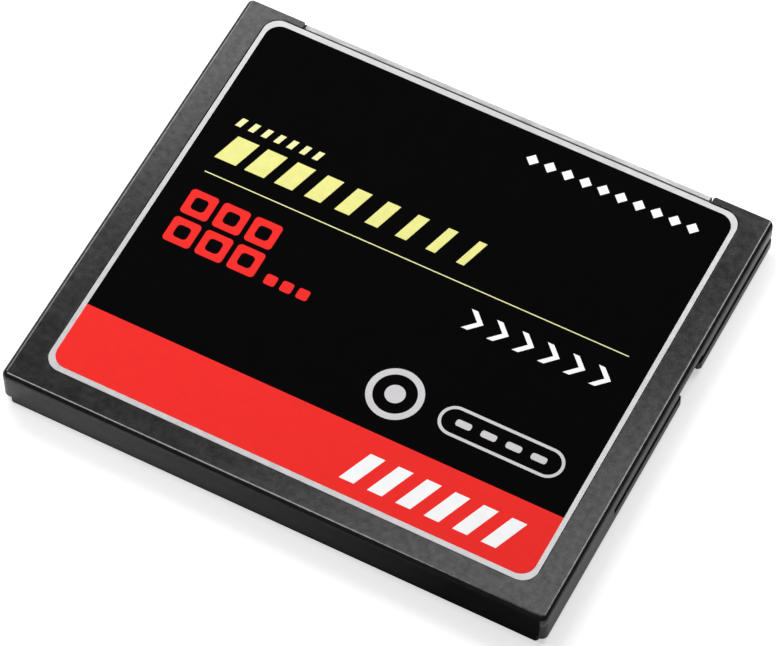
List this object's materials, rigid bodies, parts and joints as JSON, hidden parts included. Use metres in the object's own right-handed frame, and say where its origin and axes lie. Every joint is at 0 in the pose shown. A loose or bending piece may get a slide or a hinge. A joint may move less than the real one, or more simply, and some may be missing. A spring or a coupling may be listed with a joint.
{
  "type": "flash memory card",
  "caption": "Thin rectangular flash memory card with a black moulded frame, steel covers, a printed label and a pin socket along one edge.",
  "frame": {"origin": "middle of the card's back face, on the plane that the card rests on", "axes": "+X across the card to the right when the label is upright, +Y towards the socket edge, +Z out of the label face"},
  "size_m": [0.0428, 0.0364, 0.0033],
  "materials": {
    "frame_plastic": "semi-matte black moulding with a fine spark-eroded grain",
    "cover_steel": "fine brushed stainless sheet",
    "label_film": "silver printed polyester film",
    "clear_film": "thin bonding film",
    "amber_film": "amber insulating film",
    "socket_plastic": "black glass-filled moulding",
    "contact_metal": "gold-flashed copper alloy",
    "board_green": "green solder mask",
    "chip_plastic": "black moulded epoxy",
    "lead_metal": "tin-plated metal",
    "capacitor_ceramic": "tan ceramic with tinned ends"
  },
  "bodies": {
    "root": {"frame": "frame_plastic", "front_cover": "cover_steel", "back_cover": "cover_steel", "front_label": "label_film", "front_bonding_film": "clear_film", "back_bonding_film": "clear_film", "front_insulating_sheet": "amber_film", "back_insulating_sheet": "amber_film", "socket_housing": "socket_plastic", "upper_contacts": "contact_metal", "lower_contacts": "contact_metal", "circuit_board": "board_green", "memory_chip_1": "chip_plastic", "memory_chip_2": "chip_plastic", "memory_chip_leads": "lead_metal", "controller_chip": "chip_plastic", "buffer_memory_chip": "chip_plastic", "voltage_regulator": "chip_plastic", "reset_chip": "chip_plastic", "clock_crystal": "lead_metal", "reservoir_capacitors": "capacitor_ceramic", "decoupling_capacitors": "capacitor_ceramic", "resistor_arrays": "chip_plastic"}
  },
  "joints": []
}
